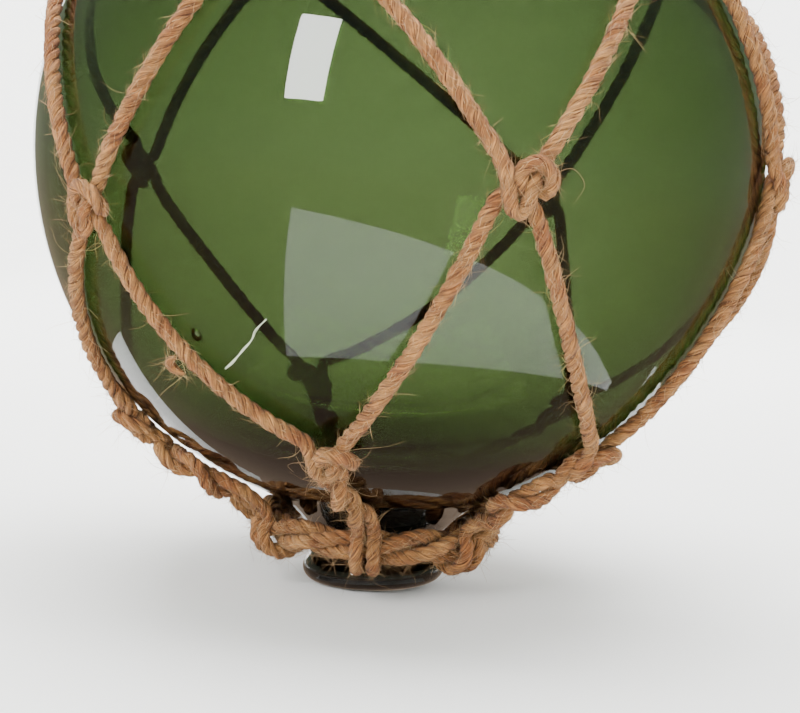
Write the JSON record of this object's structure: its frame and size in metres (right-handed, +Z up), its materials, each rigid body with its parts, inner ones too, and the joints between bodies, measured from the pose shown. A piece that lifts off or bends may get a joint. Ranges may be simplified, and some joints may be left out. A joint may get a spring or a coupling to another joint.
{
  "type": "glass float ball",
  "caption": "Hollow green glass ball with a rounded seal button below, held in a hand-knotted jute net gathered on a rope ring; stands on its seal.",
  "frame": {"origin": "middle of the small flat under the seal button", "axes": "+Z up through the ball's centre, away from the seal; -Y the front, as seen; +X to the right from the front"},
  "size_m": [0.2538, 0.2566, 0.2834],
  "materials": {
    "green_glass": "polished",
    "jute_cord": "rough"
  },
  "bodies": {
    "root": {"glass_ball": "green_glass", "net": "jute_cord", "base_ring": "jute_cord", "top_ring": "jute_cord"}
  },
  "joints": []
}
